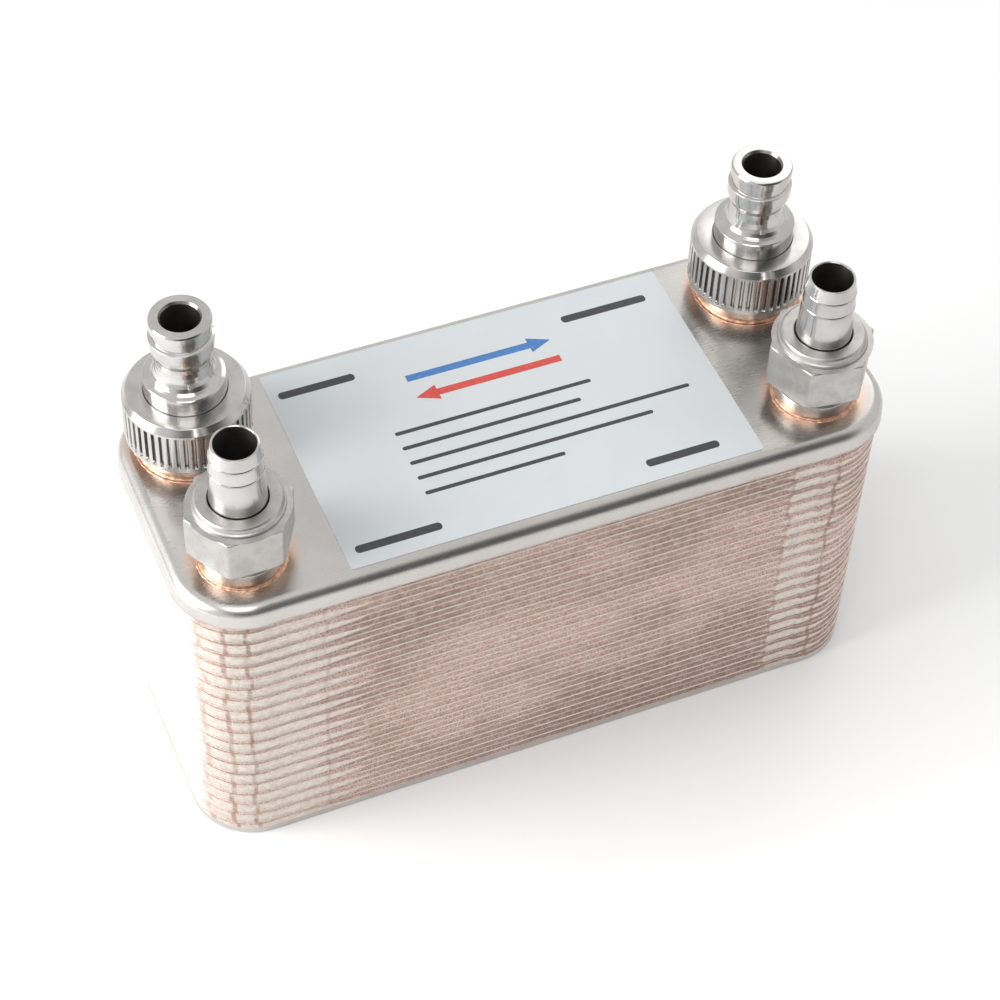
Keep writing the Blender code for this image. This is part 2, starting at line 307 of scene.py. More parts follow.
rear_bend = press_bend(REAR_FLOOR * SKIRT_FLARE + PRESS_BEND, REAR_FLOOR, PRESS_BEND, SKIRT_FLARE)
rear_skirt = [(1.0 * MM, 1.9 * MM), (REAR_SHEET / 2 + 0.03 * MM, REAR_LIP)]
rear = tray_blank("rear_cover", STACK_SIZE, rear_bend, rear_skirt)
give_thickness(rear, REAR_SHEET * 0.98)
settle(rear, rolled_sheet("rear_cover_steel", REAR_STEEL, 0.34))
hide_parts("rear_cover_plate")
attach(rear, "root")


# ---- Channel plates ----
# 38 trays of 0.3 mm stainless sheet, nested. Each is pressed with chevrons, turned end for end from one
# plate to the next, and its skirt is stained by the copper foil that melts and creeps along it.

PLATE_COUNT = 38
PLATE_PITCH = 2.24 * MM
PLATE_SHEET = 0.3 * MM
PLATE_BEND = 1.0 * MM
SKIRT_DROP = 5.8 * MM
SKIRT_HEIGHTS = (3.4, 2.3, 1.4, 0.8, 0.4, 0.0)
FIRST_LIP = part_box("channel_plate_01")[0].z
CHEVRON_PITCH = 7.0 * MM
CHEVRON_SWEEP = 0.645
CHEVRON_DEPTH = 0.75 * MM
FIELD_HALF_LENGTH = 88 * MM
FIELD_HALF_WIDTH = 30 * MM
PORT_X = 77 * MM
PORT_Y = 20 * MM
CORNERS = ((-1, -1), (-1, 1), (1, -1), (1, 1))
PORT_LAND = 12.0 * MM
LAND_SIDES = 24
PLATE_HOLE = 7.1 * MM
LIP_STEP = 0.45 * MM
LIP_WAVE = 0.10 * MM
LIP_TURN_ODD = 0.34 * MM
LIP_TURN_EVEN = 0.08 * MM
PILLOW_MIDDLE = 0.58
PILLOW_HEIGHTS = (
    (-94, 0.62), (-88, 0.64), (-85, 0.66), (-80, 0.68), (-72, 0.72), (-66, 0.64), (-60, 0.50),
    (-53, 0.28), (-45, 0.0), (55, 0.0), (61, 0.10), (64.4, 0.26), (65.2, 0.58), (72.2, 0.60),
    (73.0, 0.52), (77.6, 0.42), (84, 0.26), (90, 0.34),
)
SKIRT_SEAMS = ((-92.0, 0.50), (-87.0, 0.8), (-82.0, 0.8), (-62.0, 0.35), (65.0, 0.5), (78.0, 0.8))


def chevron_creases():
    """Crest and valley lines of the herringbone, kept clear of the ports' flat lands and of the rim."""
    lines = []
    ports = [Vector((side_x * PORT_X, side_y * PORT_Y)) for side_x, side_y in CORNERS]
    for i in range(-40, 41):
        line = []
        for step in range(-5, 6):
            across = FIELD_HALF_WIDTH * step / 5
            spot = Vector((i * CHEVRON_PITCH / 2 + abs(across) * CHEVRON_SWEEP, across))
            clear = all((spot - port).length > PORT_LAND + 1.5 * MM for port in ports)
            if clear and abs(spot.x) < FIELD_HALF_LENGTH:
                line.append(tuple(spot))
            else:
                if len(line) > 1:
                    lines.append(line)
                line = []
        if len(line) > 1:
            lines.append(line)
    return lines


def land_creases():
    """The round edges of the four flat lands."""
    lines = []
    for side_x, side_y in CORNERS:
        line = []
        for side in range(LAND_SIDES):
            angle = math.tau * side / LAND_SIDES
            x = side_x * PORT_X + PORT_LAND * math.cos(angle)
            y = side_y * PORT_Y + PORT_LAND * math.sin(angle)
            line.append((x, y))
        lines.append(line)
    return lines


def new_recipe(name, numbers, more=()):
    """A Geometry Nodes tree with named inputs. Returns the inputs' signals and the output node."""
    tree = bpy.data.node_groups.new(name, "GeometryNodeTree")
    tree.interface.new_socket("Geometry", in_out="INPUT", socket_type="NodeSocketGeometry")
    for label, kind in [(n, "Float") for n in numbers] + [*more, ("Material", "Material")]:
        tree.interface.new_socket(label, in_out="INPUT", socket_type="NodeSocket" + kind)
    tree.interface.new_socket("Geometry", in_out="OUTPUT", socket_type="NodeSocketGeometry")
    given = tree.nodes.new("NodeGroupInput")
    return {socket.name: Signal(socket) for socket in given.outputs}, tree.nodes.new("NodeGroupOutput")


def finish_recipe(get, output, geometry):
    """Every tree ends by realizing its instances and setting the material it was given."""
    realized = node(output.id_data, "GeometryNodeRealizeInstances", Geometry=geometry)
    painted = node(output.id_data, "GeometryNodeSetMaterial", Geometry=realized, Material=get["Material"])
    feed(output, _0=painted)
    return output.id_data


def follow_recipe(piece, recipe, **values):
    """Adds the tree to a piece, with its inputs set by identifier."""
    modifier = piece.modifiers.new(recipe.name, "NODES")
    modifier.node_group = recipe
    for item in recipe.interface.items_tree:
        key = item.name.replace(" ", "_")
        if item.in_out == "INPUT" and key in values:
            modifier[item.identifier] = values[key]


def point_place(tree):
    """The place of every point, in a Geometry Nodes tree."""
    return node(tree, "GeometryNodeInputPosition")


def moved(geometry, offset):
    return node(tree_of(geometry), "GeometryNodeSetPosition", Geometry=geometry, Offset=offset)


def moved_by(geometry, x=0.0, y=0.0, z=0.0):
    return moved(geometry, node(tree_of(geometry), "ShaderNodeCombineXYZ", _0=x, _1=y, _2=z))


def lip_step(x, y):
    """The place along the stack, counted from the same corner on both long sides, and the lip's step."""
    turned_x = x * (calc("SIGN", y) * -1.0)
    stepped = ramp(turned_x, 72.3 * MM, 73.9 * MM) * ramp(turned_x, 84 * MM, 92 * MM, 1.0, 0.0)
    return turned_x, stepped


def pressing_recipe():
    """Presses a flat tray blank: chevrons and port lands in the floor, a wavy stepped lip on the skirt."""
    get, output = new_recipe("press_plate", (
        "Lip Height", "Hand", "Pitch", "Sweep", "Depth", "Port X", "Port Y", "Land Radius",
        "Land Lift", "Skirt Drop", "Lip Step", "Lip Wave", "Lip Turn", "Seed"))
    tree = output.id_data
    place = point_place(tree)
    x, y, z = axes(place)
    across = abs(y)
    swept = x * get["Hand"] - across * get["Sweep"]
    phase = calc("FRACT", swept / get["Pitch"] + 100.0)
    wave = scaled(abs(phase - 0.5), 4.0, -1.0)
    in_floor = z > get["Skirt Drop"] - 0.02 * MM
    in_width = across < FIELD_HALF_WIDTH + 0.05 * MM
    in_length = abs(x) < FIELD_HALF_LENGTH
    reach_x = abs(x) - get["Port X"]
    reach_y = across - get["Port Y"]
    reach = calc("SQRT", reach_x * reach_x + reach_y * reach_y)
    on_land = reach < get["Land Radius"] + 0.1 * MM
    off_land = reach > get["Land Radius"] + 1.2 * MM
    in_field = in_width * in_length * off_land
    chevron = wave * get["Depth"] * in_field
    land = get["Land Lift"] * on_land * calc("SIGN", y)
    lift = (chevron + land) * in_floor

    toward_lip = ramp(z, 0.0, 4.5 * MM, 1.0, 0.0)
    stepped = lip_step(x, y)[1]
    noise = node(tree, "ShaderNodeTexNoise", {"noise_dimensions": "4D"},
                 Vector=place, W=get["Seed"], Scale=110.0, Detail=2.0)
    ripple = (noise - 0.5) * (get["Lip Wave"] * 2.0)
    lip = (ripple - stepped * get["Lip Step"]) * toward_lip
    pressed = moved_by(get["Geometry"], z=lift + lip + get["Lip Height"])

    outward = vector_calc("NORMALIZE", node(tree, "GeometryNodeInputNormal"))
    flat = vector_calc("MULTIPLY", outward, (1.0, 1.0, 0.0))
    height = axes(point_place(tree))[2] - get["Lip Height"]
    turn = ramp(height, -0.6 * MM, 0.9 * MM, 1.0, 0.0) * get["Lip Turn"]
    return finish_recipe(get, output, moved(pressed, vector_calc("SCALE", flat, Scale=turn)))


def pillow_stops(factor):
    """A curve through PILLOW_HEIGHTS, for a factor of 0 at -100 mm and 1 at 100 mm."""
    made = tree_of(factor).nodes.new("ShaderNodeValToRGB")
    feed(made, _0=factor)
    stops = made.color_ramp.elements
    while len(stops) < len(PILLOW_HEIGHTS):
        stops.new(1.0)
    for stop, (at, share) in zip(stops, PILLOW_HEIGHTS):
        stop.position = at * MM * 5.0 + 0.5
        stop.color = (share, share, share, 1.0)
    return Signal(made.outputs[0])


def skirt_pattern(space):
    """Where the skirts stayed bare, and the vertical and horizontal lines that the copper drew on them.

    Returns the place in a pair of plates (0 to 1 downwards), the same with a wavering edge, the half
    height of the bare pillow, the lines, and how far round a place is on the stack's short sides.
    """
    x, y, z = axes(space)
    shake = grain(space, 260.0, 3.0) - 0.5
    drift = grain(space, 42.0, 2.0) - 0.5
    turned_x, stepped = lip_step(x, y)
    below = (FIRST_LIP - z) - stepped * LIP_STEP
    pair = calc("FRACT", below / (2 * PLATE_PITCH))
    pair_waved = calc("FRACT", (below + shake * (0.55 * MM)) / (2 * PLATE_PITCH))
    shifted = turned_x + drift * (2.0 * MM)
    bare = pillow_stops(scaled(shifted, 5.0, 0.5))
    end_side = ramp(abs(x), 91.5 * MM, 94.2 * MM)
    half = calc("MAXIMUM", bare, end_side * 0.9) * 0.5

    row = calc("FLOOR", below / (2 * PLATE_PITCH))
    jolt = node(tree_of(space), "ShaderNodeTexWhiteNoise", {"noise_dimensions": "1D"}, "Value", _1=row)
    jolted = shifted + scaled(jolt, 1.1 * MM, -0.55 * MM)
    seam = 0.0
    for at, strength in SKIRT_SEAMS:
        seam = calc("MAXIMUM", seam, ramp(abs(jolted - at * MM), 0.20 * MM, 0.80 * MM, strength, 0.0))
    seam = seam * ramp(shake + 0.5, 0.38, 0.58, 0.35, 1.0)
    from_line = 0.5 - abs(pair_waved - PILLOW_MIDDLE)
    line = ramp(from_line, 0.03, 0.11, 0.7, 0.0) * ramp(half, 0.1, 0.25)
    return pair, pair_waved, half, calc("MAXIMUM", seam, line), end_side


def stained_steel(name):
    """Plate skirts: a copper haze speckled over the steel, bare pale steel near the corners, painted highlights
    along the lips and a painted shadow, mixed with copper, under them.
    """
    material, shader, space = new_finish(name)
    pair, pair_waved, half, seam, end_side = skirt_pattern(space)

    def stripe(middle, core, edge, strength):
        return ramp(abs(pair - middle), core, edge, strength, 0.0)

    pillow = ramp(half - abs(pair_waved - PILLOW_MIDDLE), -0.01, 0.03) * ramp(half, 0.02, 0.12)
    # Painted highlight: near-white stripes along each lip, where the lip catches the light from above.
    bright = calc("MAXIMUM", stripe(0.955, 0.02, 0.065, 1.0), stripe(0.455, 0.015, 0.055, 0.6))
    bright = bright * ramp(half, 0.05, 0.25, 1.0, 0.35)
    shadow = calc("MAXIMUM", stripe(0.055, 0.025, 0.08, 0.95), stripe(0.55, 0.015, 0.05, 0.55) * (1.0 - pillow))
    creep = grain(space, 17.0, 3.0, (1.0, 1.0, 1.6))
    speck = ramp(grain(space, 2400.0, 2.0), 0.42, 0.58)
    blotch = ramp(grain(space, 700.0, 3.0), 0.38, 0.62)

    haze = blend(ramp(creep, 0.38, 0.60), (0.76, 0.56, 0.505), (0.42, 0.30, 0.25))
    haze = blend(blotch * 0.35, haze, (0.90, 0.78, 0.72))
    haze = blend(speck * 0.66, haze, (0.38, 0.24, 0.19))
    clean = blend(blotch, (0.76, 0.69, 0.63), (0.67, 0.60, 0.54))
    tone = blend(pillow, haze, clean)
    # Painted highlight along the lips.
    tone = blend(bright * 0.9, tone, (0.95, 0.89, 0.84))
    # Painted shadow under each lip, mixed with the copper that collects there.
    tone = blend(shadow, tone, (0.28, 0.13, 0.09))
    tone = blend(seam, tone, (0.42, 0.26, 0.20))
    # Painted sheen: the short ends are painted pale, standing in for the left softbox's reflection that whitens
    # them, with the painted shadow lines kept.
    pale = blend(shadow, (0.80, 0.75, 0.73), (0.60, 0.42, 0.36))
    tone = blend(end_side * 0.85, tone, pale)
    rough = scaled(1.0 - pillow, 0.14, 0.36)
    feed(shader, Base_Color=tone, Roughness=scaled(speck, 0.10, rough))
    emboss(shader, speck + blotch * 1.6, 0.04 * MM, 0.6)
    return material


plate_inset = SKIRT_DROP * SKIRT_FLARE + PLATE_BEND + PLATE_SHEET / 2
plate_bend = press_bend(plate_inset, SKIRT_DROP, PLATE_BEND, SKIRT_FLARE)
plate_skirt = [(h * MM * SKIRT_FLARE + PLATE_SHEET / 2 + 0.02 * MM, h * MM) for h in SKIRT_HEIGHTS]
plate_ports = [(side_x * PORT_X, side_y * PORT_Y, PLATE_HOLE, 28) for side_x, side_y in CORNERS]
creases = chevron_creases() + land_creases()
blank = tray_blank("plate_blank", STACK_SIZE, plate_bend, plate_skirt, plate_ports, creases)
plate_recipe = pressing_recipe()
plate_steel = stained_steel("stained_plate_steel")
for number in range(1, PLATE_COUNT + 1):
    odd = number % 2
    plate = placed(f"herringbone_plate_{number:02d}", blank.data.copy())
    if not odd:
        plate.data.transform(Matrix.Diagonal((-1, -1, 1, 1)))
    follow_recipe(
        plate,
        plate_recipe,
        Lip_Height=FIRST_LIP - (number - 1) * PLATE_PITCH,
        Hand=1.0 if odd else -1.0,
        Pitch=CHEVRON_PITCH,
        Sweep=CHEVRON_SWEEP,
        Depth=CHEVRON_DEPTH,
        Port_X=PORT_X,
        Port_Y=PORT_Y,
        Land_Radius=PORT_LAND,
        Land_Lift=CHEVRON_DEPTH if odd else -CHEVRON_DEPTH,
        Skirt_Drop=SKIRT_DROP,
        Lip_Step=LIP_STEP,
        Lip_Wave=LIP_WAVE,
        Lip_Turn=LIP_TURN_ODD if odd else LIP_TURN_EVEN,
        Seed=float(number % 7),
        Material=plate_steel,
    )
    give_thickness(plate, PLATE_SHEET)
    settle(plate, plate_steel, sharp=50)
    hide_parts(f"channel_plate_{number:02d}")
    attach(plate, "root")
bpy.data.objects.remove(blank)


# ---- Braze seams ----
# Copper foil lies between the plates when they go into the furnace. It melts and is drawn into the gap
# under each lip, and sets there as a thin, uneven bead right round the stack.

SEAM_RADIUS = 0.27 * MM
SEAM_INSET = 0.44 * MM
SEAM_DROP = 0.30 * MM
SEAM_TINT = (0.50, 0.29, 0.22)


def braze_seam_recipe():
    get, output = new_recipe("braze_seams", (
        "Length", "Width", "Corner", "First Height", "Pitch", "Bead Radius", "Unevenness", "Spacing"),
        (("Count", "Int"), ("Seed", "Float")))
    tree = output.id_data
    outline = node(tree, "GeometryNodeCurvePrimitiveQuadrilateral", Width=get["Length"], Height=get["Width"])
    rounded = node(tree, "GeometryNodeFilletCurve", {"mode": "POLY"},
                   Curve=outline, Radius=get["Corner"], Count=16, Limit_Radius=True)
    spaced = node(tree, "GeometryNodeResampleCurve", {"mode": "LENGTH"}, Curve=rounded, Length=get["Spacing"])
    start = node(tree, "ShaderNodeCombineXYZ", _2=get["First Height"])
    offset = node(tree, "ShaderNodeCombineXYZ", _2=get["Pitch"])
    level = node(tree, "GeometryNodeMeshLine", Count=get["Count"], Start_Location=start, Offset=offset)
    stacked = node(tree, "GeometryNodeInstanceOnPoints", Points=level, Instance=spaced)
    loose = node(tree, "GeometryNodeRealizeInstances", Geometry=stacked)
    noise = node(tree, "ShaderNodeTexNoise", {"noise_dimensions": "4D"}, 1,
                 Vector=point_place(tree), W=get["Seed"], Scale=420.0, Detail=2.0)
    centred = vector_calc("SUBTRACT", noise, (0.5, 0.5, 0.5))
    wandering = moved(loose, vector_calc("SCALE", centred, Scale=get["Unevenness"]))
    bead = node(tree, "GeometryNodeCurvePrimitiveCircle", Resolution=5, Radius=get["Bead Radius"])
    return finish_recipe(get, output, node(tree, "GeometryNodeCurveToMesh", _0=wandering, _1=bead))


def furnace_copper(name, tint, rough, on_skirt=False):
    """Copper as it sets in the furnace: rippled, bright on its crests and browner in its hollows."""
    material, shader, space = new_finish(name)
    ripple = grain(space, 700.0, 3.0)
    deep = tuple(value * 0.62 for value in tint)
    tone = blend(ramp(ripple, 0.32, 0.62), deep, tint)
    if on_skirt:
        pair, _, half, _, end_side = skirt_pattern(space)
        lower_lip = ramp(abs(pair - 0.56), 0.15, 0.20, 1.0, 0.0)
        # Paler where the copper is thin on the bare pillows; on the short ends the pale is a painted sheen
        # standing in for the left softbox's reflection.
        thin = calc("MAXIMUM", ramp(half, 0.1, 0.25) * lower_lip, end_side * 0.7)
        tone = blend(thin, tone, (0.84, 0.78, 0.72))
    feed(shader, Base_Color=tone, Roughness=scaled(ripple, 0.22, rough - 0.10))
    emboss(shader, ripple, 0.05 * MM, 0.7)
    return material


seams = new_piece("braze_seams", bmesh.new())
seam_copper = furnace_copper("seam_copper", SEAM_TINT, 0.42, on_skirt=True)
follow_recipe(
    seams,
    braze_seam_recipe(),
    Length=STACK_SIZE[0] - 2 * SEAM_INSET,
    Width=STACK_SIZE[1] - 2 * SEAM_INSET,
    Corner=STACK_CORNER - SEAM_INSET,
    First_Height=FIRST_LIP - SEAM_DROP,
    Pitch=-PLATE_PITCH,
    Bead_Radius=SEAM_RADIUS,
    Unevenness=0.30 * MM,
    Spacing=1.5 * MM,
    Count=PLATE_COUNT,
    Seed=3.0,
    Material=seam_copper,
)
settle(seams, seam_copper, sharp=80)
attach(seams, "root")


# ---- Front cover ----
# The drawn cover that carries the four stubs: 1.2 mm stainless sheet with a satin face, a rolled edge
# and a short skirt over the first plate. The braze has tinted the steel round the ports.

COVER_LOW, COVER_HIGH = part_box("front_cover_plate")
FACE_Z = COVER_HIGH.z
COVER_CORNER = STACK_CORNER + 1.1 * MM
COVER_SIZE = (COVER_HIGH.x - COVER_LOW.x, COVER_HIGH.y - COVER_LOW.y, COVER_CORNER)
COVER_SHEET = 1.2 * MM
COVER_BEND = 3.2 * MM
COVER_LEAN = math.tan(math.radians(4))
COVER_SKIRT = ((0.09, 1.3), (0.02, 0.25), (0.12, 0.02))
COVER_STEEL = (0.62, 0.60, 0.575)
WORT_HOLE = 8.7 * MM
WATER_HOLE = 11.4 * MM
WORT_PORTS = {"wort_out": (-PORT_X, -PORT_Y), "wort_in": (PORT_X, -PORT_Y)}
WATER_PORTS = {"water_in": (-PORT_X, PORT_Y), "water_out": (PORT_X, PORT_Y)}
PORTS = {**WORT_PORTS, **WATER_PORTS}


def port_axis(space):
    """Distance from the nearest port's axis, and the direction round it."""
    off = vector_calc("SUBTRACT", vector_calc("ABSOLUTE", space), (PORT_X, PORT_Y, 0.0))
    off = vector_calc("MULTIPLY", off, vector_calc("SIGN", space))
    flat = vector_calc("MULTIPLY", off, (1.0, 1.0, 0.0))
    return vector_calc("LENGTH", flat, pick="Value"), vector_calc("CROSS_PRODUCT", (0.0, 0.0, 1.0), flat)


def satin_cover_steel():
    """Rolled sheet with a copper bloom that fades out round each port and along the skirt's edge."""
    material = rolled_sheet("satin_cover_steel", COVER_STEEL, 0.25, 0.05, 0.25)
    shader = material.node_tree.nodes["Principled BSDF"]
    steel = Signal(shader.inputs["Base Color"].links[0].from_socket)
    space = object_space(material.node_tree)
    _, y, z = axes(space)
    past = port_axis(space)[0] - scaled(y > 0.0, 2.7 * MM, 11.6 * MM)
    cloud = grain(space, 160.0, 3.0)
    bloom = ramp(past, 0.0, 3.6 * MM, 0.85, 0.0) * ramp(cloud, 0.25, 0.65, 0.45, 1.0)
    ragged = (z - COVER_LOW.z) + (cloud - 0.5) * (2.6 * MM)
    stain = ramp(ragged, 0.1 * MM, 0.9 * MM, 0.65, 0.0)
    tone = blend(bloom, steel, (0.78, 0.50, 0.36))
    feed(shader, Base_Color=blend(stain, tone, (0.52, 0.36, 0.29)))
    return material


cover_inset = COVER_BEND + (FACE_Z - COVER_LOW.z - COVER_BEND) * COVER_LEAN
cover_bend = press_bend(cover_inset, FACE_Z, COVER_BEND, COVER_LEAN, steps=12)
cover_skirt = [(inset * MM, COVER_LOW.z + height * MM) for inset, height in COVER_SKIRT]
cover_holes = [(x, y, WORT_HOLE, 64) for x, y in WORT_PORTS.values()]
cover_holes += [(x, y, WATER_HOLE, 72) for x, y in WATER_PORTS.values()]
cover = tray_blank("front_cover", COVER_SIZE, cover_bend, cover_skirt, cover_holes, corner_steps=20)
give_thickness(cover, COVER_SHEET, offset=-1.0)
settle(cover, satin_cover_steel(), sharp=40)
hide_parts("front_cover_plate")
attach(cover, "root")


# ---- Port stubs ----
# Turned stainless stubs, brazed into the cover's holes: a polished collar, then a parallel pipe thread,
# 14 threads to the inch, G 1/2 on the wort side and G 3/4 on the water side.

THREAD_PITCH = 25.4 / 14
THREAD_DEPTH = 0.90
BORE_RADIUS = 5.20 * MM
STUB_FOOT = 1.4
STUB_TOP = {"wort": 17.0, "water": 13.5}
STUB_COLLAR = {"wort": 10.4, "water": 13.1}
STUB_RADII = {"wort": (7.0, 8.5, 9.80), "water": (9.0, 11.2, 12.50)}


def liquid(port):
    return port.split("_")[0]


def rounded_profile(corners, steps=4):
    """A closed outline of (radius, height, fillet) corners in millimetres, each fillet drawn as an arc."""
    corners = [(radius * MM, height * MM, fillet * MM) for radius, height, fillet in corners]
    outline = []
    for i, (radius, height, fillet) in enumerate(corners):
        here = Vector((radius, height))
        before = Vector(corners[i - 1][:2]) - here
        after = Vector(corners[(i + 1) % len(corners)][:2]) - here
        opening = before.angle(after) / 2
        if fillet <= 0 or opening > math.radians(88):
            outline.append(here)
            continue
        back = min(fillet / math.tan(opening), 0.48 * before.length, 0.48 * after.length)
        first = here + before.normalized() * back
        last = here + after.normalized() * back
        for step in range(steps + 1):
            t = step / steps
            outline.append(first * (1 - t) ** 2 + here * 2 * t * (1 - t) + last * t ** 2)
    return outline


def refined(outline, spacing, low, high):
    """The outline with extra points wherever it runs up a wall between the heights low and high."""
    points = []
    for here, there in zip(outline, outline[1:] + outline[:1]):
        points.append(here)
        middle = (here.y + there.y) / 2
        if low <= middle <= high or min(here.y, there.y) < high and max(here.y, there.y) > low:
            count = int((there - here).length / spacing)
            points += [here.lerp(there, (i + 1) / (count + 1)) for i in range(count)]
    return points


def turned_piece(name, outline, place, segments=96):
    """The outline turned about the port's axis, as one closed skin."""
    bm = bmesh.new()
    rings = []
    for segment in range(segments):
        angle = math.tau * segment / segments
        ring = []
        for point in outline:
            x = place[0] + point.x * math.cos(angle)
            y = place[1] + point.x * math.sin(angle)
            ring.append(bm.verts.new((x, y, FACE_Z + point.y)))
        rings.append(ring)
    for segment, ring in enumerate(rings):
        before = rings[segment - 1]
        for i in range(len(outline)):
            bm.faces.new((before[i - 1], ring[i - 1], ring[i], before[i]))
    bmesh.ops.recalc_face_normals(bm, faces=bm.faces)
    return new_piece(name, bm)


def about_axis(get, output):
    """Each point's place about the recipe's axis: the arm to it in x and y, radius, turns and rise."""
    x, y, z = axes(point_place(output.id_data))
    arm_x = x - get["Axis X"]
    arm_y = y - get["Axis Y"]
    radius = calc("SQRT", arm_x * arm_x + arm_y * arm_y)
    turns = calc("ARCTAN2", arm_y, arm_x) / math.tau
    return arm_x, arm_y, radius, turns, z - get["Base Height"]


def thread_recipe():
    """Moves the wall between two heights in and out along a helix, fading at both ends."""
    get, output = new_recipe("cut_thread", (
        "Axis X", "Axis Y", "Base Height", "Low", "High", "Run Out",
        "Thread Radius", "Reach", "Pitch", "Depth"))
    arm_x, arm_y, radius, turns, rise = about_axis(get, output)
    phase = calc("FRACT", rise / get["Pitch"] - turns + 10.0)
    flank = scaled(abs(phase - 0.5), 2.6, -0.65)
    flank = calc("MINIMUM", calc("MAXIMUM", flank, -0.5), 0.5)
    into = calc("DIVIDE", rise - get["Low"], get["Run Out"], clamp=True)
    out_of = calc("DIVIDE", get["High"] - rise, get["Run Out"], clamp=True)
    near = abs(radius - get["Thread Radius"]) < get["Reach"]
    cut = flank * get["Depth"] * (into * out_of * near) / radius
    return finish_recipe(get, output, moved_by(get["Geometry"], arm_x * cut, arm_y * cut))


def cut_about(place, piece, recipe, steel, **values):
    """Follows a recipe that works about a port's axis; Low, High and other sizes are in millimetres."""
    sizes = {name: value if name in ("Count", "Share") else value * MM for name, value in values.items()}
    axis = {"Axis_X": place[0], "Axis_Y": place[1], "Base_Height": FACE_Z}
    follow_recipe(piece, recipe, Material=steel, **axis, **sizes)


def thread_wall(piece, place, steel, **sizes):
    cut_about(place, piece, cut_thread, steel, Pitch=THREAD_PITCH, Depth=THREAD_DEPTH, **sizes)


def turned_steel(name, tint, rough, ring_depth=0.012 * MM, groove=None):
    """Steel off the lathe: fine rings up the axis, polished unevenly, with a dull bore that is also painted
    dark as shade.

    groove gives the radii between which a milled wall turns from its dull bottom, painted dark as shade, to its
    bright crest.
    """
    material, shader, space = new_finish(name)
    reach, around = port_axis(space)
    rings = grain(space, 2600.0, 2.0, (0.02, 0.02, 1.0))
    rubbed = grain(space, 120.0, 4.0)
    tone = blend(ramp(rubbed, 0.35, 0.65), tuple(value * 0.86 for value in tint), tint)
    dull = ramp(reach, BORE_RADIUS, BORE_RADIUS + 0.15 * MM, 1.0, 0.0)
    # Painted shade: the bore is darkened to near black because the inside of the tube lies in shade. Its
    # roughness is raised as well.
    tone = blend(dull * 0.62, tone, (0.10, 0.095, 0.09))
    if groove:
        deep = ramp(reach, groove[0], groove[1], 1.0, 0.0)
        deep = deep * (reach > groove[0] - 0.1 * MM) * (axes(space)[2] < FACE_Z + 17.9 * MM)
        # Painted shade: the flute bottoms are darkened because little light reaches them. They are made rougher
        # too.
        tone = blend(deep * 0.75, tone, (0.20, 0.18, 0.17))
        dull = calc("MAXIMUM", dull, deep * 0.8)
    gloss = scaled(rubbed, 0.06, scaled(rings, 0.10, rough - 0.05))
    feed(
        shader,
        Base_Color=tone,
        Roughness=scaled(dull, 0.16, gloss),
        Anisotropic=0.65,
        Anisotropic_Rotation=0.25,
        Tangent=around,
    )
    emboss(shader, rings, ring_depth, 0.5)
    return material


cut_thread = thread_recipe()
stub_steel = turned_steel("stub_steel", (0.60, 0.58, 0.555), 0.20)
for port, place in PORTS.items():
    bore, hole, mean = STUB_RADII[liquid(port)]
    collar = STUB_COLLAR[liquid(port)]
    top = STUB_TOP[liquid(port)]
    corners = (
        (bore, -STUB_FOOT, 0.2),
        (hole, -STUB_FOOT, 0.1),
        (hole, 0.05, 0.0),
        (collar, 0.05, 0.0),
        (collar, 4.4, 0.35),
        (mean - 0.5, 4.8, 0.2),
        (mean, 5.6, 0.1),
        (mean, top - 0.5, 0.2),
        (mean - 0.7, top, 0.1),
        (bore, top, 0.25),
    )
    outline = refined(rounded_profile(corners), 0.22 * MM, 5.0 * MM, (top - 0.4) * MM)
    stub = turned_piece(f"{port}_threaded_stub", outline, place)
    thread_wall(stub, place, stub_steel, Low=5.2, High=top - 0.2, Run_Out=1.0, Thread_Radius=mean, Reach=0.3)
    settle(stub, stub_steel)
    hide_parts(f"{port}_stub")
    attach(stub, "root")


# ---- Braze fillets ----
# Bright copper that ran round the foot of each stub in the furnace and set as a hollow fillet, with a
# thin flash of copper on the steel beyond it.

FILLET_SIZE = {"wort": (0.45, 0.6), "water": (0.75, 1.0)}
FILLET_STEPS = 8

port_copper = furnace_copper("port_copper", (0.80, 0.47, 0.33), 0.40)
for port, place in PORTS.items():
    collar = STUB_COLLAR[liquid(port)]
    spread, climb = FILLET_SIZE[liquid(port)]
    points = [(collar - 0.1, 0.01), (collar - 0.1, climb + 0.05)]
    for step in range(FILLET_STEPS + 1):
        angle = math.radians(90 * step / FILLET_STEPS)
        reach = collar + spread * (1 - 0.96 * math.cos(angle))
        points.append((reach, climb - (climb - 0.16) * math.sin(angle)))
    points += [(collar + spread + 0.22, 0.14), (collar + spread + 0.34, 0.01)]
    outline = [Vector((reach * MM, height * MM)) for reach, height in points]
    fillet = turned_piece(f"{port}_braze_fillet", outline, place, segments=180)
    for vertex in fillet.data.vertices:
        arm = vertex.co.xy - Vector(place)
        around = math.atan2(arm.y, arm.x)
        swell = 1 + 0.14 * math.sin(5 * around + collar)
        swell += 0.12 * math.sin(23 * around) + 0.10 * math.sin(37 * around + 1)
        vertex.co.z = FACE_Z + (vertex.co.z - FACE_Z) * swell
        if arm.length > (collar + 0.3) * MM:
            vertex.co.xy += arm.normalized() * (swell - 1) * 0.6 * MM
    settle(fillet, port_copper, sharp=50)
    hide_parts(f"{port}_braze_ring")
    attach(fillet, "root")


# ---- Gaskets and washers ----
# Flat seals, punched from sheet, that lie on the stubs' ends under the tails and nipples: off-white
# silicone on the wort side, where it has to be food-safe, and black rubber on the water side.

SEAL_LIFT = 0.05
SEAL_TOP = 1.95
SEAL_ROUND = 0.25


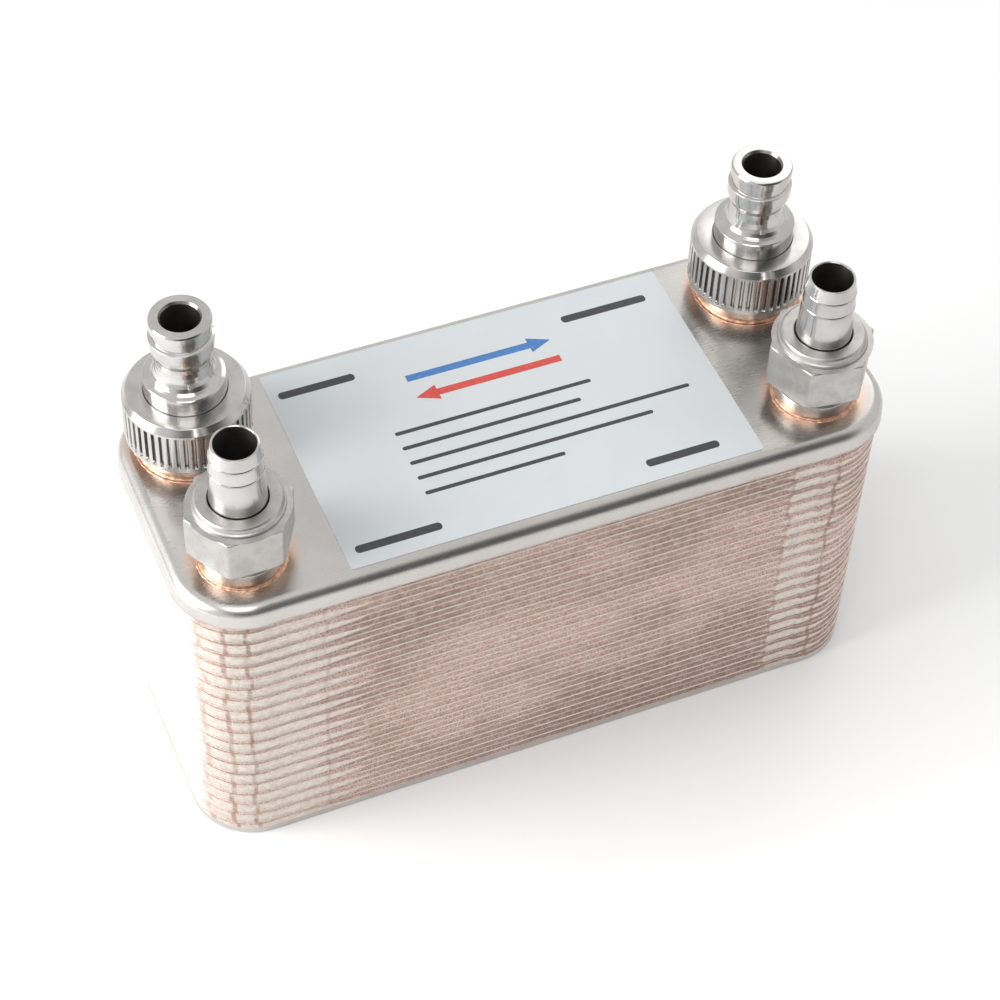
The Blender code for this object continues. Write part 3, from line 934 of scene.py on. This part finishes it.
def mottled(name, scale, tints, edges, gloss, detail=3.0):
    """A finish that is not metal, uneven in tone and gloss. Returns it, its shader and its space."""
    material, shader, space = new_finish(name, metallic=0.0)
    patch = grain(space, scale, detail)
    share = ramp(patch, *edges) if edges else patch
    feed(shader, Base_Color=blend(share, *tints), Roughness=scaled(patch, *gloss))
    return material, shader, space


def seal_rubber(name, tint):
    """Matt moulded rubber, a little chalky, with a fine orange peel."""
    pale = tuple(min(1.0, value * 1.25 + 0.02) for value in tint)
    material, shader, space = mottled(name, 500.0, (tint, pale), (0.4, 0.75), (0.2, 0.5), 4.0)
    emboss(shader, grain(space, 2400.0, 2.0), 0.02 * MM, 0.5)
    return material


silicone = seal_rubber("silicone", (0.78, 0.76, 0.71))
black_rubber = seal_rubber("black_rubber", (0.03, 0.03, 0.03))
SEALS = {"wort": ("gasket", silicone, 5.4, 8.85), "water": ("washer", black_rubber, 5.55, 11.5)}
for port, place in PORTS.items():
    kind, rubber, inner, outer = SEALS[liquid(port)]
    low = STUB_TOP[liquid(port)] + SEAL_LIFT
    high = STUB_TOP[liquid(port)] + SEAL_TOP
    corners = [(r, h, SEAL_ROUND) for r, h in ((inner, low), (outer, low), (outer, high), (inner, high))]
    seal = turned_piece(f"{port}_seal", rounded_profile(corners), place, 72)
    settle(seal, rubber, sharp=60)
    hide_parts(f"{port}_{kind}")
    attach(seal, "root")


# ---- Hose tails ----
# Thin polished stainless tubes that a 13 mm hose is pushed over, with two low barbs and a flange that
# the union nut pulls down on the gasket.

POLISHED_STEEL = (0.60, 0.585, 0.57)
TAIL_CORNERS = (
    (5.16, 19.05, 0.2), (9.1, 19.05, 0.15), (9.1, 20.55, 0.2), (7.16, 20.6, 0.1), (7.12, 22.2, 0.35),
    (6.96, 23.6, 0.8),
    (6.62, 31.95, 0.1), (6.70, 32.22, 0.05), (6.70, 32.40, 0.05), (6.54, 32.6, 0.06),
    (6.42, 36.40, 0.1), (6.50, 36.62, 0.05), (6.50, 36.80, 0.05), (6.34, 37.0, 0.06),
    (5.78, 40.38, 0.12), (5.45, 40.5, 0.1), (5.16, 40.3, 0.05),
)

tail_steel = turned_steel("tail_steel", POLISHED_STEEL, 0.13, 0.010 * MM)
for port, place in WORT_PORTS.items():
    tail = turned_piece(f"{port}_polished_tail", rounded_profile(TAIL_CORNERS), place, 112)
    settle(tail, tail_steel)
    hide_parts(f"{port}_hose_tail")
    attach(tail, f"{port}_tail_body")


# ---- Union nuts ----
# Investment-cast stainless hexagons, 24 mm across flats, bead-blasted, with a turned round shoulder on
# top. The tail stands in the mouth, and the G 1/2 thread inside takes the stub.

HEX_HALF_FLATS = 12.0 * MM
HEX_CORNER_ROUND = 0.9 * MM
HEX_PROFILE_REACH = 14.2 * MM
NUT_TURN = {"wort_out": 0.5, "wort_in": -7.6}
UNION_CORNERS = (
    (10.0, 7.3, 0.3), (13.1, 7.3, 0.2), (14.2, 7.8, 0.1), (14.2, 19.35, 0.5),
    (11.42, 19.62, 0.1), (11.32, 20.35, 0.3), (10.85, 20.62, 0.15), (10.62, 21.6, 0.3), (10.25, 22.0, 0.2),
    (7.38, 22.0, 0.3), (7.38, 20.95, 0.1), (10.0, 20.95, 0.2),
)


def hexagon_reach(angle):
    """How far the cast hexagon's side is from the axis, with its corners rounded off."""
    around = abs((angle + math.pi / 6) % (math.pi / 3) - math.pi / 6)
    centre = HEX_HALF_FLATS - HEX_CORNER_ROUND
    if math.tan(around) * HEX_HALF_FLATS < centre * math.tan(math.pi / 6):
        return HEX_HALF_FLATS / math.cos(around)
    centre /= math.cos(math.pi / 6)
    off = math.pi / 6 - around
    return centre * math.cos(off) + math.sqrt(HEX_CORNER_ROUND ** 2 - (centre * math.sin(off)) ** 2)


def soft_lower(first, second, softness):
    """The lower of two values, with the change between them rounded."""
    share = max(softness - abs(first - second), 0.0) / softness
    return min(first, second) - share * share * softness / 4


def cast_steel():
    """Bead-blasted casting: an even fine pitting, dull, with slightly polished high spots."""
    material, shader, space = new_finish("cast_nut_steel")
    pits = grain(space, 2300.0, 3.0)
    lumps = grain(space, 320.0, 3.0)
    feed(
        shader,
        Base_Color=blend(ramp(lumps, 0.3, 0.7), (0.44, 0.425, 0.41), (0.53, 0.515, 0.495)),
        Roughness=scaled(pits, 0.14, 0.29),
    )
    emboss(shader, scaled(lumps, 1.2, pits), 0.06 * MM, 0.7)
    return material


nut_cast = cast_steel()
for port, place in WORT_PORTS.items():
    outline = refined(rounded_profile(UNION_CORNERS), 0.24 * MM, 7.2 * MM, 19.9 * MM)
    nut = turned_piece(f"{port}_cast_union_nut", outline, place, 192)
    axis = Vector((place[0], place[1]))
    first_corner = math.radians(NUT_TURN[port])
    for vertex in nut.data.vertices:
        arm = vertex.co.xy - axis
        reach = hexagon_reach(math.atan2(arm.y, arm.x) - first_corner - math.pi / 6)
        if vertex.co.z < FACE_Z + 12 * MM and arm.length > 11.5 * MM:
            vertex.co.xy = axis + arm.normalized() * soft_lower(arm.length, reach, 0.35 * MM)
        elif arm.length > 13 * MM:
            vertex.co.xy = axis + arm.normalized() * (reach - HEX_PROFILE_REACH + arm.length)
    thread_wall(nut, place, nut_cast, Low=7.8, High=17.6, Run_Out=0.8, Thread_Radius=10.0, Reach=0.25)
    settle(nut, nut_cast, sharp=42)
    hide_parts(f"{port}_union_nut")
    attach(nut, f"{port}_nut_body")


# ---- Quick-connect nipples ----
# Turned and polished stainless: a bored tip with a groove for the coupling's seal, a locking ring, a
# hollow waist that flares into a stepped foot, and a flange under the nut.

NIPPLE_CORNERS = (
    (4.8, 15.55, 0.2), (11.8, 15.55, 0.15), (11.8, 17.35, 0.2), (10.32, 17.4, 0.1),
    (10.32, 24.72, 0.22), (10.05, 24.92, 0.1), (9.10, 25.25, 0.6), (8.30, 25.75, 0.6),
    (7.65, 26.55, 0.7), (7.18, 27.7, 0.8), (6.92, 29.1, 0.8), (6.84, 30.6, 0.9), (6.90, 32.0, 0.8),
    (7.50, 33.5, 0.4), (7.68, 34.9, 0.05), (7.50, 35.0, 0.03),
    (8.10, 35.15, 0.18), (8.15, 38.25, 0.22), (7.32, 38.6, 0.18), (7.30, 40.9, 0.12),
    (7.78, 41.15, 0.12), (7.78, 43.35, 0.18), (7.45, 43.8, 0.12), (5.30, 43.8, 0.08), (4.8, 43.15, 0.08),
)

nipple_steel = turned_steel("nipple_steel", POLISHED_STEEL, 0.13)
for port, place in WATER_PORTS.items():
    nipple = turned_piece(f"{port}_polished_nipple", rounded_profile(NIPPLE_CORNERS, steps=6), place, 112)
    settle(nipple, nipple_steel)
    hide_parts(f"{port}_nipple")
    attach(nipple, f"{port}_nipple_body")


# ---- Fluted nuts ----
# Round swivel nuts, turned and then milled with 48 narrow grip flutes that run out at the chamfer above
# and stop round-ended short of the plain rim below.

FLUTE_COUNT = 48
FLUTED_RADIUS = 15.9
FLUTED_CORNERS = (
    (12.72, 5.2, 0.3), (15.2, 5.2, 0.2), (FLUTED_RADIUS, 5.75, 0.3), (FLUTED_RADIUS, 18.2, 0.35),
    (14.65, 19.95, 0.2), (10.42, 20.0, 0.2), (10.42, 17.75, 0.1), (12.72, 17.75, 0.2),
)


def flute_recipe():
    """Mills round-ended flutes into the outer wall: Share is the part of each pitch that is cut away."""
    get, output = new_recipe("mill_flutes", (
        "Axis X", "Axis Y", "Base Height", "Low", "High", "Outer Radius", "Count", "Share", "Depth"))
    arm_x, arm_y, radius, turns, rise = about_axis(get, output)
    from_centre = abs(calc("FRACT", turns * get["Count"] + 100.0) - 0.5)
    width = get["Outer Radius"] * math.tau / get["Count"]
    half_flute = get["Share"] * width * 0.5
    aside = from_centre * width / half_flute
    end = calc("MAXIMUM", get["Low"] - rise, 0.0) / half_flute
    hollow = ramp(calc("SQRT", aside * aside + end * end), 0.62, 1.06, 1.0, 0.0)
    on_wall = radius > get["Outer Radius"] - 0.6 * MM
    below_top = ramp(rise - get["High"], -0.45 * MM, 0.25 * MM, 1.0, 0.0)
    cut = hollow * on_wall * below_top * get["Depth"] * -1.0 / radius
    return finish_recipe(get, output, moved_by(get["Geometry"], arm_x * cut, arm_y * cut))


mill_flutes = flute_recipe()
fluted_steel = turned_steel("fluted_nut_steel", (0.58, 0.565, 0.55), 0.19, groove=(15.05 * MM, 15.8 * MM))
for port, place in WATER_PORTS.items():
    outline = refined(rounded_profile(FLUTED_CORNERS), 0.45 * MM, 5.8 * MM, 18.4 * MM)
    nut = turned_piece(f"{port}_fluted_nut", outline, place, FLUTE_COUNT * 12)
    flutes = {"Low": 7.5, "High": 17.4, "Outer_Radius": FLUTED_RADIUS, "Share": 0.50, "Depth": 0.95}
    cut_about(place, nut, mill_flutes, fluted_steel, Count=float(FLUTE_COUNT), **flutes)
    thread_wall(nut, place, fluted_steel, Low=5.7, High=15.0, Run_Out=0.8, Thread_Radius=12.72, Reach=0.25)
    settle(nut, fluted_steel, sharp=38)
    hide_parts(f"{port}_nut")
    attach(nut, f"{port}_nut_body")


# ---- Label ----
# A satin vinyl sticker on the flat of the cover, printed with plain bars where a maker would put words
# and with two arrows for the liquids, which flow in opposite directions.

LABEL_X = (-54.0, 56.5)
LABEL_Y = (-33.6, 34.3)
LABEL_CORNER = 0.8
LABEL_LOW = 0.02
LABEL_THICK = 0.09
INK_THICK = 0.02
INK_LOW = LABEL_LOW + LABEL_THICK
INK_HIGH = INK_LOW + INK_THICK
BARS = (
    (-51.5, -31.0, 26.2, 2.4),
    (26.5, 50.5, 26.0, 2.4),
    (-51.0, -28.5, -28.2, 2.4),
    (26.5, 46.5, -27.8, 2.4),
    (-28.5, 25.0, 3.6, 1.2),
    (-28.5, 20.0, -1.6, 1.2),
    (-28.5, 48.0, -6.8, 1.2),
    (-28.5, 35.5, -12.0, 1.2),
    (-28.5, 9.0, -17.2, 1.2),
)
ARROW_HEAD = (6.0, 2.6)
ARROW_SHAFT = 1.1
ARROWS = (
    ("cold_flow_arrow", (0.05, 0.17, 0.42), 21.0, -19.0, 20.6),
    ("hot_flow_arrow", (0.55, 0.06, 0.045), -19.0, 21.0, 13.6),
)


def flat_shape(bm, points, low, high):
    """A thin prism with this outline, in millimetres."""
    lower = [bm.verts.new((x * MM, y * MM, FACE_Z + low * MM)) for x, y in points]
    upper = [bm.verts.new((x * MM, y * MM, FACE_Z + high * MM)) for x, y in points]
    bm.faces.new(upper)
    bm.faces.new(list(reversed(lower)))
    for i in range(len(points)):
        bm.faces.new((lower[i - 1], lower[i], upper[i], upper[i - 1]))


def rounded_box(x_range, y_range, corner, steps=6):
    points = []
    for quarter, (x, y) in enumerate(((1, 1), (0, 1), (0, 0), (1, 0))):
        centre_x = x_range[x] + (corner if x == 0 else -corner)
        centre_y = y_range[y] + (corner if y == 0 else -corner)
        for step in range(steps + 1):
            angle = (quarter + step / steps) * math.pi / 2
            points.append((centre_x + corner * math.cos(angle), centre_y + corner * math.sin(angle)))
    return points


def vinyl():
    """White satin film with a faint cool cast, printed to a barely uneven tone."""
    whites = ((0.555, 0.585, 0.60), (0.615, 0.64, 0.655))
    material, shader, space = mottled("label_vinyl", 60.0, whites, None, (0.12, 0.24))
    emboss(shader, grain(space, 1500.0, 2.0), 0.01 * MM, 0.4)
    return material


def ink(name, tint):
    """Screen-printed ink, a shade uneven where it was laid down."""
    thin = tuple(value * 1.3 + 0.015 for value in tint)
    return mottled(name, 1200.0, (tint, thin), (0.45, 0.8), (0.2, 0.3))[0]


bm = bmesh.new()
flat_shape(bm, rounded_box(LABEL_X, LABEL_Y, LABEL_CORNER), LABEL_LOW, INK_LOW)
label = new_piece("cover_label", bm)
settle(label, vinyl())
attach(label, "root")

bm = bmesh.new()
for x_from, x_to, y, height in BARS:
    bar = rounded_box((x_from, x_to), (y - height / 2, y + height / 2), height * 0.42)
    flat_shape(bm, bar, INK_LOW, INK_HIGH)
print_bars = new_piece("label_bars", bm)
settle(print_bars, ink("black_ink", (0.035, 0.035, 0.04)))
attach(print_bars, "root")

for name, tint, tip, tail, y in ARROWS:
    way = 1 if tip > tail else -1
    length, wing = ARROW_HEAD
    neck = tip - way * length
    lower = [(tail, y - ARROW_SHAFT), (neck, y - ARROW_SHAFT), (neck, y - wing)]
    upper = [(neck, y + wing), (neck, y + ARROW_SHAFT), (tail, y + ARROW_SHAFT)]
    points = lower + [(tip, y)] + upper
    bm = bmesh.new()
    flat_shape(bm, points if way > 0 else list(reversed(points)), INK_LOW, INK_HIGH)
    arrow = new_piece(name, bm)
    settle(arrow, ink(name + "_ink", tint))
    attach(arrow, "root")


# ---- Bench, light and camera ----
# A plain pale worktop under soft studio light: a large softbox to the left, another overhead and
# behind, and a sky that darkens towards the front, so that polished steel has something to reflect.

FLOOR_HALF = 3.0
AIM = (0.0, 0.0, 0.05)
FRONT_SKY = (0.10, -0.86, 0.50)
CAMERA_PLACE = Vector((-191.564, -419.287, 590.786)) * MM
CAMERA_ANGLES = (-24.502, -48.976, 2.73)
SENSOR = 36.0
FOCAL = 96.52

bm = bmesh.new()
corners = [bm.verts.new((x * FLOOR_HALF, y * FLOOR_HALF, 0.0)) for x, y in ((-1, -1), (1, -1), (1, 1), (-1, 1))]
bm.faces.new(corners)
floor = new_piece("worktop", bm)
floor_paint, shader, space = new_finish("worktop_paint", metallic=0.0)
paint = blend(grain(space, 3.0, 3.0), (0.92, 0.92, 0.92), (0.95, 0.95, 0.945))
feed(shader, Base_Color=paint, Roughness=0.75)
floor.data.materials.append(floor_paint)


def softbox(name, place, size, power):
    light = bpy.data.lights.new(name, "AREA")
    light.shape = "RECTANGLE"
    light.size, light.size_y = size
    light.energy = power
    lamp = placed(name, light)
    lamp.location = place
    lamp.rotation_euler = (Vector(AIM) - Vector(place)).to_track_quat("-Z", "Y").to_euler()


softbox("left_softbox", (-0.75, 0.05, 0.45), (0.5, 0.6), 6.4)
softbox("high_softbox", (-0.25, -0.55, 1.15), (0.6, 0.6), 3.2)
softbox("back_softbox", (0.80, 0.85, 0.90), (0.5, 0.5), 1.2)

world = bpy.data.worlds.new("studio")
bpy.context.scene.world = world
world.use_nodes = True
direction = node(world.node_tree, "ShaderNodeTexCoord", pick="Generated")
toward = vector_calc("DOT_PRODUCT", direction, Vector(FRONT_SKY).normalized(), pick="Value")
shade = ramp(toward, 0.62, 0.95, 0.86, 0.10)
feed(world.node_tree.nodes["Background"], Color=(1.0, 1.0, 1.0, 1.0), Strength=shade)

yaw, pitch, roll = (math.radians(angle) for angle in CAMERA_ANGLES)
forward = Vector((-math.sin(yaw) * math.cos(pitch), math.cos(yaw) * math.cos(pitch), math.sin(pitch)))
level_right = forward.cross(Vector((0, 0, 1))).normalized()
level_up = level_right.cross(forward)
right = level_right * math.cos(roll) + level_up * math.sin(roll)
up = level_up * math.cos(roll) - level_right * math.sin(roll)
lens = bpy.data.cameras.new("camera")
lens.sensor_width = SENSOR
lens.lens = FOCAL
lens.clip_start = 0.01
camera = placed("camera", lens)
camera.matrix_world = Matrix.Translation(CAMERA_PLACE) @ Matrix((right, up, -forward)).transposed().to_4x4()
bpy.context.scene.camera = camera
bpy.context.scene.view_settings.view_transform = "Standard"
